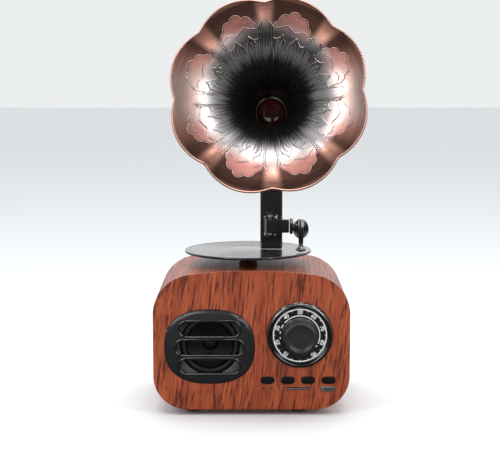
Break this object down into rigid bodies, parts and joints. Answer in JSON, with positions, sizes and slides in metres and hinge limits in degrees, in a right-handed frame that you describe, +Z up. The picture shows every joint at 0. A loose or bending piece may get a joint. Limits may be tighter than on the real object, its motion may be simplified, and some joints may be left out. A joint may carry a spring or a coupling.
{
  "type": "horn loudspeaker",
  "caption": "Small table loudspeaker in gramophone form: rounded wood-grain cabinet with grille, scale dial and buttons, record disc, tonearm and flower horn on a post.",
  "frame": {"origin": "on the surface the feet stand on, under the middle of the whole object's box", "axes": "+Z up, +Y from the grille side to the back, +X to the right seen from the front"},
  "size_m": [0.1114, 0.1062, 0.2221],
  "materials": {
    "wood_shell": "satin wood-grain skin with a clear top coat",
    "black_plastic": "satin black moulding",
    "black_gloss": "gloss black",
    "dial_print": "black with white scale print",
    "copper": "brushed antique copper, black towards the throat",
    "throat": "dark brown-red",
    "steel": "plated steel",
    "board": "green solder mask",
    "switch": "black",
    "magnet": "dark grey",
    "cone_paper": "black paper",
    "rubber": "black rubber",
    "cell_wrap": "blue shrink wrap",
    "wire": "red insulation",
    "led_lens": "red lens"
  },
  "bodies": {
    "cabinet": {"cabinet_shell": "wood_shell", "rear_cover": "black_plastic", "speaker_grille": "black_plastic", "dial_bezel": "black_plastic", "dial_plate": "dial_print", "cover_screw_1": "steel", "cover_screw_2": "steel", "cover_screw_3": "steel", "cover_screw_4": "steel", "encoder_nut": "steel", "volume_encoder": "steel", "board_screw_1": "steel", "board_screw_2": "steel", "usb_socket": "steel", "card_socket": "steel", "microphone": "steel", "speaker_frame": "steel", "main_board": "board", "button_board": "board", "tact_switch_1": "switch", "tact_switch_2": "switch", "tact_switch_3": "switch", "tact_switch_4": "switch", "battery_cradle": "switch", "speaker_basket": "magnet", "speaker_magnet": "magnet", "speaker_cone": "cone_paper", "dust_cap": "cone_paper", "speaker_surround": "rubber", "foot_front_left": "rubber", "foot_front_right": "rubber", "foot_rear_left": "rubber", "foot_rear_right": "rubber", "battery_cell": "cell_wrap", "speaker_lead": "wire", "battery_lead": "wire", "status_led": "led_lens"},
    "volume_knob": {"volume_knob": "black_plastic", "encoder_shaft": "steel"},
    "mode_button": {"mode_button": "black_plastic"},
    "previous_button": {"previous_button": "black_plastic"},
    "play_button": {"play_button": "black_plastic"},
    "next_button": {"next_button": "black_plastic"},
    "turntable": {"record_disc": "black_gloss", "pedestal": "black_gloss", "swivel_bolt": "steel", "horn_post": "black_gloss", "post_screw_1": "steel", "post_screw_2": "steel", "tonearm_bracket": "black_gloss", "tonearm_pin": "steel", "horn_socket": "black_gloss", "socket_screw": "steel"},
    "tonearm": {"tonearm_bar": "black_gloss", "arm_collar": "black_gloss", "soundbox": "black_gloss", "needle_lever": "black_gloss"},
    "horn": {"horn_neck": "black_gloss", "throat_plug": "throat", "horn_bell": "copper"}
  },
  "joints": [
    {"name": "volume_turn", "type": "hinge", "parent": "cabinet", "child": "volume_knob", "pos_m": [0.02348, -0.02191, 0.0443], "axis": [0, 1, 0], "range_deg": [-144, 144]},
    {"name": "mode_press", "type": "slide", "parent": "cabinet", "child": "mode_button", "axis": [0, 1, 0], "range_m": [0, 0.0008], "stiffness_N_per_m": 400},
    {"name": "previous_press", "type": "slide", "parent": "cabinet", "child": "previous_button", "axis": [0, 1, 0], "range_m": [0, 0.0008], "stiffness_N_per_m": 400},
    {"name": "play_press", "type": "slide", "parent": "cabinet", "child": "play_button", "axis": [0, 1, 0], "range_m": [0, 0.0008], "stiffness_N_per_m": 400},
    {"name": "next_press", "type": "slide", "parent": "cabinet", "child": "next_button", "axis": [0, 1, 0], "range_m": [0, 0.0008], "stiffness_N_per_m": 400},
    {"name": "turntable_swivel", "type": "hinge", "parent": "cabinet", "child": "turntable", "pos_m": [-0.00452, 0.01559, 0.0846], "axis": [0, 0, 1], "continuous": true},
    {"name": "tonearm_swing", "type": "hinge", "parent": "turntable", "child": "tonearm", "pos_m": [0.00768, 0.00809, 0.1001], "axis": [0, 0, 1], "range_deg": [-75, 12]},
    {"name": "horn_turn", "type": "hinge", "parent": "turntable", "child": "horn", "pos_m": [0.00858, 0.01459, 0.161], "axis": [-0.046, -0.9756, 0.2147], "continuous": true}
  ]
}
